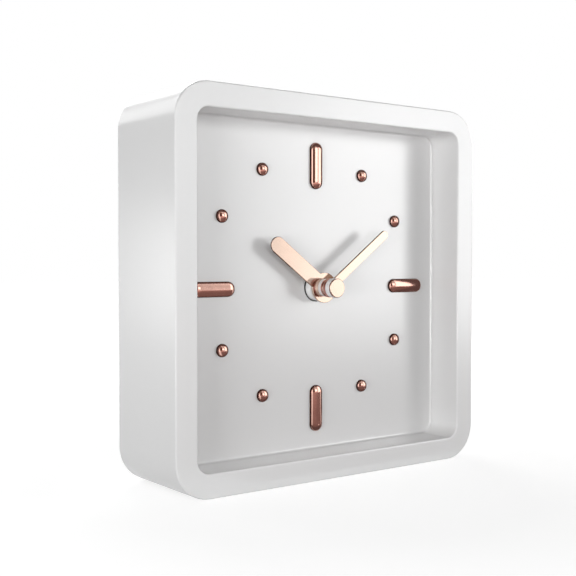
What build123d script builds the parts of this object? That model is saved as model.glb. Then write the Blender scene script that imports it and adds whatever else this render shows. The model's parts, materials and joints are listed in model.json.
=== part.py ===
from build123d import *
import math
import os

# Square table clock with an open recessed dial, worked by a battery quartz movement.
# The clock is modelled lying on its back: x to the right of the dial, y towards twelve o'clock,
# z towards the viewer from the rear edge of the case. It is stood up on its base at the end.

# Case
case_width = 140.0
case_height = 140.0
case_depth = 40.5
case_corner_radius = 13.4
case_wall = 2.4
front_wall = 2.4
bezel_width = 8.6
recess_wall = 2.0
dial_depth = 15.2
front_round = 0.6
back_round = 0.5
boss_bite = 0.4
overrun = 1.0

# Dial plate
dial_thickness = 2.0
dial_clearance = 0.3
bead_height = 0.9
bead_land = 0.1
bead_clearance = 0.05
cove_radius = 0.8

# Hour markers
baton_length = 17.6
baton_width = 5.5
baton_height = 2.0
baton_skirt = 0.3
baton_edge_gap = 6.6
dot_diameter = 4.8
dot_height = 2.0
dot_skirt = 0.3
dot_edge_gap = 11.3
dot_ring_shift_x = -1.0
dot_ring_shift_y = 2.1
marker_shoulder_share = 0.735
baton_hours = ["12", "3", "6", "9"]
dot_hours = ["1", "2", "4", "5", "7", "8", "10", "11"]
hour_step = 30.0
full_turn = 360.0
half_turn = 180.0
quarter_turn = 90.0

# Hands, with heights measured forward from the dial face
hour_hand_angle = 306.3
hour_hand_length = 29.7
hour_hand_width = 6.2
hour_hub_diameter = 11.4
hour_hand_height = 5.75
hour_collar_diameter = 6.6
minute_hand_angle = 53.6
minute_hand_length = 35.5
minute_hand_width = 3.4
minute_hand_height = 9.1
hand_thickness = 0.7
hand_gap = 0.2
hand_edge = 0.12
cap_diameter = 7.1
cap_height = 13.35
cap_edge = 0.22
cap_crown = 1.8

# Rear cover
cover_thickness = 2.0
cover_inset = 1.0
cover_clearance = 0.2
rebate_wall = 1.4
window_clearance = 1.0
skirt_wall = 1.6
skirt_overlap = 2.5
cover_edge = 0.3

# Screws
cover_screw_diameter = 2.5
cover_screw_length = 9.0
cover_head_diameter = 4.6
cover_head_height = 1.5
cover_sink = 0.8
dial_screw_diameter = 2.0
dial_screw_length = 6.5
dial_head_diameter = 3.4
dial_head_height = 1.2
lid_screw_diameter = 1.6
lid_screw_length = 5.0
lid_head_diameter = 3.0
lid_head_height = 0.8
cross_width_share = 0.18
cross_length_share = 0.62
cross_depth_share = 0.55
head_round_share = 0.45
pilot_clearance = 0.05
pilot_run_in = 1.0

# Battery cell
cell_diameter = 14.2
cell_length = 50.2
cell_clearance = 0.3
nub_diameter = 5.2
nub_height = 1.4
sleeve_thickness = 0.12
sleeve_margin = 0.7
seat_clearance = 0.02

# Movement housing
housing_floor = 1.2
housing_wall = 1.4
housing_corner_radius = 3.0
partition = 1.0
contact_room = 1.5
lid_thickness = 1.4
lid_ledge = 0.5
lid_clearance = 0.1
lid_post_diameter = 3.8
gasket_thickness = 0.6
gasket_diameter = 18.0

# Centre bush and nut
bush_diameter = 8.0
bush_flange_diameter = 12.0
bush_flange_thickness = 1.2
bush_stand_out = 0.5
bush_edge = 0.3
nut_diameter = 9.9
nut_height = 3.4
nut_edge = 0.3
hole_clearance = 0.1
running_clearance = 0.05

# Arbors and pipes
hour_pipe_diameter = 5.0
minute_arbor_diameter = 3.2
arbor_seat_diameter = 2.4
arbor_pivot_diameter = 2.0
train_pivot_diameter = 1.0
pivot_wall = 1.0
pivot_depth = 1.8
pivot_relief = 0.3
stud_diameter = 1.8
setting_shaft_diameter = 2.5

# Wheel teeth
train_module = 0.25
centre_wheel_teeth = 80
intermediate_pinion_teeth = 8
intermediate_wheel_teeth = 72
rotor_pinion_teeth = 8
motion_module = 0.35
cannon_teeth = 12
minute_wheel_teeth = 36
minute_pinion_teeth = 10
hour_wheel_teeth = 40
setting_pinion_teeth = 12
pressure_angle = 27.0
addendum_share = 0.8
dedendum_share = 1.1
flank_relief = 0.03

# Places of the wheels about the centre, as angles from three o'clock, turning left
minute_wheel_direction = 45.0
setting_direction = 10.0
intermediate_direction = 130.0
rotor_direction = 165.0

# Thicknesses and gaps through the movement
wheel_thickness = 0.8
motion_wheel_thickness = 1.2
pinion_margin = 0.3
wheel_gap = 0.4
wheel_clearance = 0.8
train_gap = 1.2

# Setting knob
knob_diameter = 12.0
knob_height = 4.0
knob_gap = 0.4
knob_edge = 0.4
knob_notches = 28
knob_notch_radius = 0.5
knob_dish_depth = 0.6
knob_rim = 1.4

# Stepping motor
magnet_diameter = 5.6
magnet_thickness = 2.4
magnet_gap = 1.0
stator_thickness = 1.0
stator_air_gap = 0.4
stator_ring_width = 1.8
stator_leg_width = 4.0
stator_bar_width = 4.4
core_width = 2.4
core_thickness = 1.2
coil_length = 20.0
coil_diameter = 6.4
bobbin_hub_diameter = 3.8
bobbin_flange_size = 7.6
bobbin_flange_thickness = 0.8
coil_gap = 0.5
support_diameter = 2.4

# Circuit board and contacts
board_width = 11.0
board_height = 12.4
board_thickness = 1.0
board_gap = 0.3
crystal_diameter = 2.0
crystal_length = 6.0
chip_diameter = 5.0
chip_height = 1.2
chip_rim = 0.2
chip_shoulder_share = 0.5
contact_thickness = 0.4
contact_width = 6.0
contact_pad_diameter = 5.0
contact_touch_gap = 0.05
contact_tab = 1.2

# Levels from the rear edge of the case, towards the viewer
dial_face = case_depth - dial_depth
dial_back = dial_face - dial_thickness
front_inner = case_depth - front_wall
cover_seat = cover_inset + cover_thickness
movement_depth = housing_floor + cell_diameter + 2 * cell_clearance
movement_front = dial_back - gasket_thickness
movement_back = movement_front - movement_depth
floor_inner = movement_front - housing_floor
lid_inner = movement_back + lid_thickness
cell_level = floor_inner - cell_clearance - cell_diameter / 2
hour_hand_face = dial_face + hour_hand_height
minute_hand_face = dial_face + minute_hand_height
cap_face = dial_face + cap_height
flange_back = floor_inner - bush_flange_thickness
hour_wheel_front = flange_back - hand_gap
hour_wheel_back = hour_wheel_front - motion_wheel_thickness
cannon_front = hour_wheel_back - wheel_gap
cannon_back = cannon_front - motion_wheel_thickness
centre_wheel_front = cannon_back - wheel_gap - hand_gap
centre_wheel_back = centre_wheel_front - wheel_thickness
intermediate_front = centre_wheel_back - train_gap
intermediate_back = intermediate_front - wheel_thickness
magnet_front = intermediate_back - pinion_margin - magnet_gap
magnet_back = magnet_front - magnet_thickness
stator_front = (magnet_front + magnet_back + stator_thickness) / 2
stator_back = stator_front - stator_thickness

# Case plan sizes
recess_width = case_width - 2 * bezel_width
recess_height = case_height - 2 * bezel_width
recess_radius = case_corner_radius - bezel_width
baton_reach_x = recess_width / 2 - baton_edge_gap - baton_length / 2
baton_reach_y = recess_height / 2 - baton_edge_gap - baton_length / 2
dot_reach_x = recess_width / 2 - dot_edge_gap - dot_diameter / 2
dot_reach_y = recess_height / 2 - dot_edge_gap - dot_diameter / 2
channel_width = bezel_width - case_wall - recess_wall
post_radius = channel_width / 2 + boss_bite
post_arm = case_corner_radius - case_wall - channel_width / 2
post_x = case_width / 2 - case_corner_radius + post_arm * math.cos(math.pi / 4)
post_y = case_height / 2 - case_corner_radius + post_arm * math.sin(math.pi / 4)
post_places = [(x, y) for x in (-post_x, post_x) for y in (-post_y, post_y)]
boss_x = case_width / 2 - case_wall - channel_width / 2
boss_y = case_height / 2 - case_wall - channel_width / 2
boss_places = [(boss_x, 0), (-boss_x, 0), (0, boss_y), (0, -boss_y)]


# Distance between the axes of two wheels in mesh
def centre_distance(module, teeth_a, teeth_b):
    return module * (teeth_a + teeth_b) / 2


# Point at a distance and an angle from another point
def polar(start, distance, degrees):
    turn = math.radians(degrees)
    return (start[0] + distance * math.cos(turn), start[1] + distance * math.sin(turn))


# Radius over the tips of a wheel's teeth
def tip_radius(module, teeth):
    return module * teeth / 2 + addendum_share * module


# Turn of a wheel that puts one of its gaps on a tooth of the wheel that drives it
def mesh_phase(teeth_a, phase_a, teeth_b, direction):
    step_a = full_turn / teeth_a
    step_b = full_turn / teeth_b
    return direction + half_turn - step_b / 2 + step_b * (direction - phase_a) / step_a


motion_distance = centre_distance(motion_module, cannon_teeth, minute_wheel_teeth)
hour_module = 2 * motion_distance / (minute_pinion_teeth + hour_wheel_teeth)
setting_distance = centre_distance(motion_module, minute_wheel_teeth, setting_pinion_teeth)
intermediate_distance = centre_distance(train_module, centre_wheel_teeth, intermediate_pinion_teeth)
rotor_distance = centre_distance(train_module, intermediate_wheel_teeth, rotor_pinion_teeth)
centre_place = (0.0, 0.0)
minute_wheel_place = polar(centre_place, motion_distance, minute_wheel_direction)
setting_place = polar(minute_wheel_place, setting_distance, setting_direction)
intermediate_place = polar(centre_place, intermediate_distance, intermediate_direction)
rotor_place = polar(intermediate_place, rotor_distance, rotor_direction)
minute_wheel_phase = mesh_phase(cannon_teeth, 0.0, minute_wheel_teeth, minute_wheel_direction)
setting_phase = mesh_phase(minute_wheel_teeth, minute_wheel_phase, setting_pinion_teeth,
                           setting_direction)
hour_wheel_phase = mesh_phase(minute_pinion_teeth, 0.0, hour_wheel_teeth,
                              minute_wheel_direction + half_turn)
intermediate_phase = mesh_phase(centre_wheel_teeth, 0.0, intermediate_pinion_teeth,
                                intermediate_direction)
rotor_phase = mesh_phase(intermediate_wheel_teeth, 0.0, rotor_pinion_teeth, rotor_direction)

# Movement plan sizes, worked out from the cell, the wheels and the coil
housing_width = cell_length + 2 * (contact_room + housing_wall)
chamber_half = housing_width / 2 - housing_wall
chamber_low = -(tip_radius(train_module, centre_wheel_teeth) + wheel_clearance)
bay_high = chamber_low - partition
bay_low = bay_high - cell_diameter - 2 * cell_clearance
cell_y = (bay_high + bay_low) / 2
intermediate_tip = tip_radius(train_module, intermediate_wheel_teeth)
coil_y = intermediate_place[1] + intermediate_tip + coil_gap + coil_diameter / 2
chamber_high = coil_y + bobbin_flange_size / 2 + coil_gap + contact_thickness
housing_low = bay_low - housing_wall
housing_high = chamber_high + housing_wall
housing_height = housing_high - housing_low
housing_y = (housing_high + housing_low) / 2
coil_x = intermediate_place[0]
leg_offset = coil_length / 2 + bobbin_flange_thickness + coil_gap + stator_leg_width / 2
core_level = stator_front + core_thickness / 2
lid_post_radius = lid_post_diameter / 2
lid_post_x = chamber_half - contact_thickness - coil_gap - lid_post_radius
lid_post_low = chamber_low + lid_post_radius - boss_bite
lid_post_high = chamber_high - lid_post_radius - contact_thickness - board_gap
lid_post_places = [(-lid_post_x, lid_post_low), (lid_post_x, lid_post_low),
                   (lid_post_x, lid_post_high)]
board_right = lid_post_x - lid_post_radius - board_gap
board_x = board_right - board_width / 2
board_high = chamber_high - contact_thickness - board_gap
board_y = board_high - board_height / 2
board_front = stator_front
board_back = board_front - board_thickness


# Flat slab with rounded corners between two levels
def rounded_slab(width, height, radius, low, high):
    return Pos(0, 0, low) * extrude(RectangleRounded(width, height, radius), high - low)


# Box between two corners of the plan and two levels
def block(left, right, lower, upper, low, high):
    middle = Pos((left + right) / 2, (lower + upper) / 2, (low + high) / 2)
    return middle * Box(right - left, upper - lower, high - low)


# Round bar along the viewing direction between two levels
def rod(place, radius, low, high):
    return Pos(place[0], place[1], (low + high) / 2) * Cylinder(radius, high - low)


# Ring along the viewing direction between two levels
def ring(place, outer, inner, low, high):
    return rod(place, outer, low, high) - rod(place, inner, low - overrun, high + overrun)


# Copies of one solid at several places of the plan
def copies(solid, places):
    return [Pos(x, y, 0) * solid for x, y in places]


# Pan head screw that points towards the viewer, with its head seated at a level
def screw(head_diameter, head_height, shank_diameter, length, seat):
    head = rod(centre_place, head_diameter / 2, seat - head_height, seat)
    head = fillet(head.edges().group_by(Axis.Z)[0], head_round_share * head_height)
    arm = cross_length_share * head_diameter
    slot = cross_width_share * head_diameter
    depth = cross_depth_share * head_height
    bottom = seat - head_height
    for width, height in ((arm, slot), (slot, arm)):
        head -= block(-width / 2, width / 2, -height / 2, height / 2,
                      bottom - overrun, bottom + depth)
    return head + rod(centre_place, shank_diameter / 2, seat, seat + length)


# Involute of an angle
def involute(angle):
    return math.tan(angle) - angle


# Wheel or pinion with involute teeth between two levels
def gear(teeth, module, phase, low, high):
    pitch = module * teeth / 2
    press = math.radians(pressure_angle)
    base = pitch * math.cos(press)
    tip = tip_radius(module, teeth)
    root = pitch - dedendum_share * module
    start = max(base, root)
    half_tooth = math.pi / (2 * teeth) - flank_relief / pitch

    def half_angle(radius):
        return half_tooth + involute(press) - involute(math.acos(min(base / radius, 1.0)))

    def point(radius, angle):
        return (radius * math.cos(angle), radius * math.sin(angle))

    edges = []
    for index in range(teeth):
        middle = math.radians(phase) + 2 * math.pi * index / teeth
        following = middle + 2 * math.pi / teeth
        flanks = []
        for side in (-1, 1):
            radii = [start, (start + tip) / 2, tip]
            points = [point(radius, middle + side * half_angle(radius)) for radius in radii]
            flanks.append(points)
            edges.append(ThreePointArc(*points))
            if start > root:
                edges.append(Line(point(root, middle + side * half_angle(start)), points[0]))
        edges.append(Line(flanks[0][2], flanks[1][2]))
        leaving = point(root, middle + half_angle(start))
        edges.append(Line(leaving, point(root, following - half_angle(start))))
    return Pos(0, 0, low) * extrude(make_face(edges), high - low)


# Case: outer wall, bezel, recess wall, corner posts and dial bosses in one moulding
def make_case_shell():
    body = rounded_slab(case_width, case_height, case_corner_radius, 0, case_depth)
    body -= rounded_slab(recess_width, recess_height, recess_radius, -overrun, case_depth + overrun)
    body = fillet(body.edges().group_by(Axis.Z)[-1], front_round)
    inner_radius = case_corner_radius - case_wall
    cavity = rounded_slab(case_width - 2 * case_wall, case_height - 2 * case_wall, inner_radius,
                          -overrun, front_inner)
    cavity -= rounded_slab(recess_width + 2 * recess_wall, recess_height + 2 * recess_wall,
                           recess_radius + recess_wall, dial_face, front_inner + overrun)
    cavity -= copies(rod(centre_place, post_radius, cover_seat, front_inner + overrun), post_places)
    cavity -= copies(rod(centre_place, post_radius, dial_face, front_inner + overrun), boss_places)
    body -= cavity
    outer_edges = body.edges().group_by(Axis.Z)[0]
    body = fillet([edge for edge in outer_edges if is_outer(edge)], back_round)
    body -= rounded_slab(case_width - 2 * rebate_wall, case_height - 2 * rebate_wall,
                         case_corner_radius - rebate_wall, -overrun, cover_seat)
    pilot = rod(centre_place, cover_screw_diameter / 2 + pilot_clearance, cover_seat - overrun,
                cover_inset + cover_sink + cover_screw_length + pilot_run_in)
    body -= copies(pilot, post_places)
    pilot = rod(centre_place, dial_screw_diameter / 2 + pilot_clearance, dial_face - overrun,
                dial_back + dial_screw_length + pilot_run_in)
    return body - copies(pilot, boss_places)


# Edge on the outside of the case rather than round its cavity
def is_outer(edge):
    middle = edge @ 0.5
    reach_x = abs(middle.X) - (case_width / 2 - case_corner_radius)
    reach_y = abs(middle.Y) - (case_height / 2 - case_corner_radius)
    reach = math.hypot(max(reach_x, 0), max(reach_y, 0))
    return reach > case_corner_radius - case_wall / 2


# Dial plate with a coved bead that fills the foot of the recess
def make_dial_plate():
    side = 2 * (case_wall + dial_clearance)
    plate = rounded_slab(case_width - side, case_height - side,
                         case_corner_radius - case_wall - dial_clearance, dial_back, dial_face)
    bead = rounded_slab(recess_width - 2 * bead_clearance, recess_height - 2 * bead_clearance,
                        recess_radius - bead_clearance, dial_face, dial_face + bead_height)
    inset = bead_clearance + bead_land
    pocket = rounded_slab(recess_width - 2 * inset, recess_height - 2 * inset, recess_radius - inset,
                          dial_face, dial_face + bead_height + overrun)
    pocket = fillet(pocket.edges().group_by(Axis.Z)[0], cove_radius)
    plate += bead - pocket
    through = (dial_back - overrun, dial_face + overrun)
    plate -= copies(rod(centre_place, post_radius + dial_clearance, *through), post_places)
    screw_hole = rod(centre_place, dial_screw_diameter / 2 + hole_clearance, *through)
    plate -= copies(screw_hole, boss_places)
    return plate - rod(centre_place, bush_diameter / 2 + hole_clearance, *through)


# Half of the section of a dome, from its middle out to its side: an upright skirt, a round shoulder
# and a flatter crown, each running smoothly into the next
def dome_section(radius, skirt, height, shoulder_share):
    rise = height - skirt
    shoulder = shoulder_share * rise
    reach = radius - shoulder
    crown = (reach ** 2 + rise ** 2 - shoulder ** 2) / (2 * (rise - shoulder))
    crown_centre = height - crown
    turn = math.degrees(math.atan2(skirt - crown_centre, reach))
    outline = [
        Line((0, 0), (radius, 0)),
        Line((radius, 0), (radius, skirt)),
        CenterArc((reach, skirt), shoulder, 0, turn),
        CenterArc((0, crown_centre), crown, turn, quarter_turn - turn),
        Line((0, height), (0, 0)),
    ]
    return Plane.XZ * make_face(outline)


# Round domed marker at the middle of the dial
def make_dot():
    section = dome_section(dot_diameter / 2, dot_skirt, dot_height, marker_shoulder_share)
    return Pos(0, 0, dial_face) * revolve(section, Axis.Z)


# Long domed marker at the middle of the dial, upright, with round ends
def make_baton():
    section = dome_section(baton_width / 2, baton_skirt, baton_height, marker_shoulder_share)
    dome = revolve(section, Axis.Z)
    straight = (baton_length - baton_width) / 2
    half = extrude(section, straight, both=True)
    bar = half + mirror(half, Plane.YZ) + Pos(0, straight, 0) * dome + Pos(0, -straight, 0) * dome
    return Pos(0, 0, dial_face) * bar


# Flat hand with a round hub and a round tip, pointing to twelve
def hand_blade(width, length, hub_diameter, face):
    straight = length - width / 2
    plan = Circle(hub_diameter / 2) + Pos(0, straight / 2) * Rectangle(width, straight)
    plan += Pos(0, straight) * Circle(width / 2)
    blade = Pos(0, 0, face - hand_thickness) * extrude(plan, hand_thickness)
    return chamfer(blade.edges().group_by(Axis.Z)[-1], hand_edge)


def make_hour_hand():
    blade = hand_blade(hour_hand_width, hour_hand_length, hour_hub_diameter, hour_hand_face)
    blade -= rod(centre_place, hour_pipe_diameter / 2 + seat_clearance, dial_face, cap_face)
    return Rot(0, 0, -hour_hand_angle) * blade


# Turned collar on the front of the hour hand
def make_hour_collar():
    top = minute_hand_face - hand_thickness - hand_gap
    body = rod(centre_place, hour_collar_diameter / 2, hour_hand_face, top)
    body = chamfer(body.edges().group_by(Axis.Z)[-1], hand_edge)
    return body - rod(centre_place, hour_pipe_diameter / 2 + seat_clearance, dial_face, cap_face)


def make_minute_hand():
    blade = hand_blade(minute_hand_width, minute_hand_length, cap_diameter, minute_hand_face)
    blade -= rod(centre_place, minute_arbor_diameter / 2 + seat_clearance, dial_face, cap_face)
    return Rot(0, 0, -minute_hand_angle) * blade


# Turned cap that closes the end of the minute arbor
def make_hand_cap():
    body = rod(centre_place, cap_diameter / 2, minute_hand_face, cap_face)
    body = chamfer(body.edges().group_by(Axis.Z)[-1], cap_edge)
    bore = minute_arbor_diameter / 2 + seat_clearance
    return body - rod(centre_place, bore, dial_face, cap_face - cap_crown)


# Rear cover with a window and a skirt round the movement
def make_rear_cover():
    margin = 2 * (rebate_wall + cover_clearance)
    cover = rounded_slab(case_width - margin, case_height - margin,
                         case_corner_radius - rebate_wall - cover_clearance, cover_inset, cover_seat)
    cover = chamfer(cover.edges().group_by(Axis.Z)[0], cover_edge)
    window_width = housing_width + 2 * window_clearance
    window_height = housing_height + 2 * window_clearance
    window_radius = housing_corner_radius + window_clearance
    skirt = rounded_slab(window_width + 2 * skirt_wall, window_height + 2 * skirt_wall,
                         window_radius + skirt_wall, cover_inset, movement_back + skirt_overlap)
    cover += Pos(0, housing_y, 0) * skirt
    cover -= Pos(0, housing_y, 0) * rounded_slab(window_width, window_height, window_radius,
                                                 cover_inset - overrun, movement_front)
    hole = rod(centre_place, cover_screw_diameter / 2 + hole_clearance, cover_inset - overrun,
               cover_seat + overrun)
    sink = rod(centre_place, cover_head_diameter / 2 + hole_clearance, cover_inset - overrun,
               cover_inset + cover_sink)
    return cover - copies(hole + sink, post_places)


# Movement housing: gear chamber behind the dial and a battery bay below it, both open at the back
def make_housing():
    outline = rounded_slab(housing_width, housing_height, housing_corner_radius, movement_back,
                           movement_front)
    body = Pos(0, housing_y, 0) * outline
    chamber = block(-chamber_half, chamber_half, chamber_low, chamber_high,
                    movement_back - overrun, floor_inner)
    post = rod(centre_place, lid_post_radius, lid_inner, floor_inner + overrun)
    chamber -= copies(post, lid_post_places)
    chamber -= housing_bosses()
    body -= chamber
    body -= block(-chamber_half, chamber_half, bay_low, bay_high, movement_back - overrun, floor_inner)
    body -= lid_slab(0, movement_back - overrun)
    body -= rod(centre_place, bush_diameter / 2 + hole_clearance, floor_inner - overrun,
                movement_front + overrun)
    pilot_top = movement_back + lid_head_height + lid_screw_length + pilot_run_in
    pilot = rod(centre_place, lid_screw_diameter / 2 + pilot_clearance, lid_inner - overrun, pilot_top)
    body -= copies(pilot, lid_post_places)
    slot_low = cell_level - contact_width / 2 - hole_clearance
    slot_high = cell_level + contact_width / 2 + hole_clearance
    slot = contact_thickness + hole_clearance
    for left in (-chamber_half, chamber_half - slot):
        body -= block(left, left + slot, bay_high - overrun, chamber_low + overrun, slot_low, slot_high)
    return body


# Outline of the lid, drawn in all round by a margin, from a level up to the inside of the lid
def lid_slab(margin, low):
    width = 2 * (chamber_half + lid_ledge - margin)
    height = chamber_high - chamber_low + 2 * (lid_ledge - margin)
    radius = housing_corner_radius - housing_wall + lid_ledge - margin
    middle = Pos(0, (chamber_high + chamber_low) / 2, 0)
    return middle * rounded_slab(width, height, radius, low, lid_inner)


# Boss with a blind bearing hole that opens towards the lid
def floor_bearing(place, pivot_diameter, mouth):
    bore = pivot_diameter / 2 + running_clearance
    boss = rod(place, bore + pivot_wall, mouth, floor_inner + overrun)
    return boss - rod(place, bore, mouth - overrun, mouth + pivot_depth + pivot_relief)


# Bosses, stud and supports that stand on the floor of the gear chamber
def housing_bosses():
    bosses = floor_bearing(intermediate_place, train_pivot_diameter, pinion_front() + pivot_relief)
    bosses += floor_bearing(rotor_place, train_pivot_diameter, rotor_front() + pivot_relief)
    bosses += floor_bearing(setting_place, train_pivot_diameter, cannon_front + pivot_relief)
    shoulder = hour_wheel_front + running_clearance
    bosses += rod(minute_wheel_place, stud_diameter / 2, cannon_back, floor_inner + overrun)
    bosses += rod(minute_wheel_place, stud_diameter / 2 + pinion_margin, shoulder, floor_inner + overrun)
    for place in support_places():
        bosses += rod(place, support_diameter / 2, stator_front, floor_inner + overrun)
    return bosses


# Front end of the intermediate pinion
def pinion_front():
    return centre_wheel_front + pinion_margin


# Front end of the rotor pinion
def rotor_front():
    return intermediate_front + pinion_margin


# Places of the supports under the stator's two legs and two corners of the circuit board
def support_places():
    legs_y = coil_y - bobbin_flange_size / 2 - support_diameter / 2
    legs = [(coil_x - leg_offset, legs_y), (coil_x + leg_offset, legs_y)]
    inset = support_diameter / 2 + board_gap
    low_corner = (board_x - board_width / 2 + inset, board_y - board_height / 2 + inset)
    high_corner = (board_x + board_width / 2 - inset,
                   board_y + board_height / 2 - inset - contact_tab)
    return legs + [low_corner, high_corner]


# Lid of the gear chamber with the rear bearings
def make_lid():
    lid = lid_slab(lid_clearance, movement_back)
    lid = chamfer(lid.edges().group_by(Axis.Z)[0], cover_edge)
    lid += lid_bearing(centre_place, arbor_pivot_diameter, magnet_front)
    lid += lid_bearing(intermediate_place, train_pivot_diameter, stator_front)
    lid += lid_bearing(rotor_place, train_pivot_diameter, magnet_back - pivot_relief)
    lid -= lid_bore(centre_place, arbor_pivot_diameter, magnet_front)
    lid -= lid_bore(intermediate_place, train_pivot_diameter, stator_front)
    lid -= lid_bore(rotor_place, train_pivot_diameter, magnet_back - pivot_relief)
    lid -= rod(setting_place, setting_shaft_diameter / 2 + running_clearance, movement_back - overrun,
               lid_inner + overrun)
    hole = rod(centre_place, lid_screw_diameter / 2 + hole_clearance, movement_back - overrun,
               lid_inner + overrun)
    sink = rod(centre_place, lid_head_diameter / 2 + hole_clearance, movement_back - overrun,
               movement_back + lid_head_height)
    return lid - copies(hole + sink, lid_post_places)


# Boss on the inside of the lid that carries a rear pivot
def lid_bearing(place, pivot_diameter, mouth):
    return rod(place, pivot_diameter / 2 + running_clearance + pivot_wall, movement_back, mouth)


# Bearing hole of such a boss
def lid_bore(place, pivot_diameter, mouth):
    depth = min(pivot_depth + pivot_relief, mouth - movement_back - lid_thickness / 2)
    return rod(place, pivot_diameter / 2 + running_clearance, mouth - depth, mouth + overrun)


# End of a rear pivot inside its bearing
def pivot_end(mouth):
    return mouth - min(pivot_depth, mouth - movement_back - lid_thickness / 2 - pivot_relief)


# Threaded bush that holds the movement to the dial
def make_bush():
    top = dial_face + nut_height + bush_stand_out
    body = rod(centre_place, bush_diameter / 2, flange_back, top)
    body = chamfer(body.edges().group_by(Axis.Z)[-1], bush_edge)
    body += rod(centre_place, bush_flange_diameter / 2, flange_back, floor_inner)
    bore = hour_pipe_diameter / 2 + running_clearance
    return body - rod(centre_place, bore, flange_back - overrun, top + overrun)


# Soft gasket between the movement and the dial
def make_gasket():
    bore = bush_diameter / 2 + hole_clearance
    return ring(centre_place, gasket_diameter / 2, bore, movement_front, dial_back)


# Polished round nut on the front of the dial
def make_nut():
    body = rod(centre_place, nut_diameter / 2, dial_face, dial_face + nut_height)
    body = fillet(body.edges().group_by(Axis.Z)[-1], nut_edge)
    bore = bush_diameter / 2 + running_clearance
    return body - rod(centre_place, bore, dial_face - overrun, dial_face + nut_height + overrun)


# Minute arbor with its cannon pinion, from the lid bearing to the hand cap
def make_minute_arbor():
    top = cap_face - cap_crown - pivot_relief
    arbor = rod(centre_place, minute_arbor_diameter / 2, centre_wheel_front, top)
    arbor += gear(cannon_teeth, motion_module, 0.0, cannon_back, cannon_front)
    arbor += rod(centre_place, arbor_seat_diameter / 2, centre_wheel_back, centre_wheel_front)
    pivot = arbor_pivot_diameter / 2
    return arbor + rod(centre_place, pivot, pivot_end(magnet_front), centre_wheel_back)


def make_centre_wheel():
    wheel = gear(centre_wheel_teeth, train_module, 0.0, centre_wheel_back, centre_wheel_front)
    bore = arbor_seat_diameter / 2 + seat_clearance
    return wheel - rod(centre_place, bore, centre_wheel_back - overrun, centre_wheel_front + overrun)


# Hour wheel with the pipe that carries the hour hand
def make_hour_wheel():
    top = minute_hand_face - hand_thickness - 2 * hand_gap
    wheel = gear(hour_wheel_teeth, hour_module, hour_wheel_phase, hour_wheel_back, hour_wheel_front)
    wheel += rod(centre_place, hour_pipe_diameter / 2, hour_wheel_back, top)
    bore = minute_arbor_diameter / 2 + running_clearance
    return wheel - rod(centre_place, bore, hour_wheel_back - overrun, top + overrun)


# Minute wheel with its pinion, turning on the stud
def make_minute_wheel():
    wheel = gear(minute_wheel_teeth, motion_module, minute_wheel_phase, cannon_back, cannon_front)
    wheel += gear(minute_pinion_teeth, hour_module, 0.0, cannon_front, hour_wheel_front)
    wheel -= rod(centre_place, stud_diameter / 2 + running_clearance, cannon_back - overrun, floor_inner)
    return Pos(*minute_wheel_place, 0) * wheel


# Setting shaft with its pinion, from the housing floor out through the lid
def make_setting_shaft():
    end = movement_back - knob_gap - knob_height + knob_dish_depth + knob_rim / 2
    shaft = gear(setting_pinion_teeth, motion_module, setting_phase, cannon_back, cannon_front)
    shaft += rod(centre_place, setting_shaft_diameter / 2, end, cannon_back)
    tip = cannon_front + pivot_relief + pivot_depth
    shaft += rod(centre_place, train_pivot_diameter / 2, cannon_front, tip)
    return Pos(*setting_place, 0) * shaft


# Notched knob for setting the hands
def make_setting_knob():
    top = movement_back - knob_gap
    low = top - knob_height
    knob = rod(centre_place, knob_diameter / 2, low, top)
    rims = knob.edges().group_by(Axis.Z)
    knob = chamfer(rims[0] + rims[-1], knob_edge)
    notch = rod(centre_place, knob_notch_radius, low - overrun, top + overrun)
    for index in range(knob_notches):
        place = polar(centre_place, knob_diameter / 2, full_turn * index / knob_notches)
        knob -= Pos(*place, 0) * notch
    knob -= rod(centre_place, knob_diameter / 2 - knob_rim, low - overrun, low + knob_dish_depth)
    end = low + knob_dish_depth + knob_rim / 2
    bore = setting_shaft_diameter / 2 + seat_clearance
    knob -= rod(centre_place, bore, end - seat_clearance, top + overrun)
    return Pos(*setting_place, 0) * knob


# Intermediate wheel with its pinion and pivots
def make_intermediate_wheel():
    pinion_back = centre_wheel_back - pinion_margin
    wheel = gear(intermediate_wheel_teeth, train_module, 0.0, intermediate_back, intermediate_front)
    wheel += gear(intermediate_pinion_teeth, train_module, intermediate_phase, pinion_back,
                  pinion_front())
    tip = pinion_front() + pivot_relief + pivot_depth
    wheel += rod(centre_place, train_pivot_diameter / 2, pivot_end(stator_front), tip)
    return Pos(*intermediate_place, 0) * wheel


# Rotor arbor with its pinion
def make_rotor_pinion():
    low = intermediate_back - pinion_margin
    pinion = gear(rotor_pinion_teeth, train_module, rotor_phase, low, rotor_front())
    tip = rotor_front() + pivot_relief + pivot_depth
    pinion += rod(centre_place, train_pivot_diameter / 2, pivot_end(magnet_back - pivot_relief), tip)
    return Pos(*rotor_place, 0) * pinion


def make_rotor_magnet():
    bore = train_pivot_diameter / 2 + seat_clearance
    return ring(rotor_place, magnet_diameter / 2, bore, magnet_back, magnet_front)


# Stator plate: ring round the magnet, bar and two legs up to the coil core
def make_stator():
    hole = magnet_diameter / 2 + stator_air_gap
    left = coil_x - leg_offset
    right = coil_x + leg_offset
    half = stator_leg_width / 2
    high = coil_y + core_width / 2
    level = (stator_back, stator_front)
    plate = rod(rotor_place, hole + stator_ring_width, *level)
    bar_high = rotor_place[1] + stator_bar_width
    plate += block(rotor_place[0], right + half, rotor_place[1], bar_high, *level)
    plate += block(left - half, left + half, rotor_place[1], high, *level)
    plate += block(right - half, right + half, rotor_place[1], high, *level)
    return plate - rod(rotor_place, hole, stator_back - overrun, stator_front + overrun)


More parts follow.
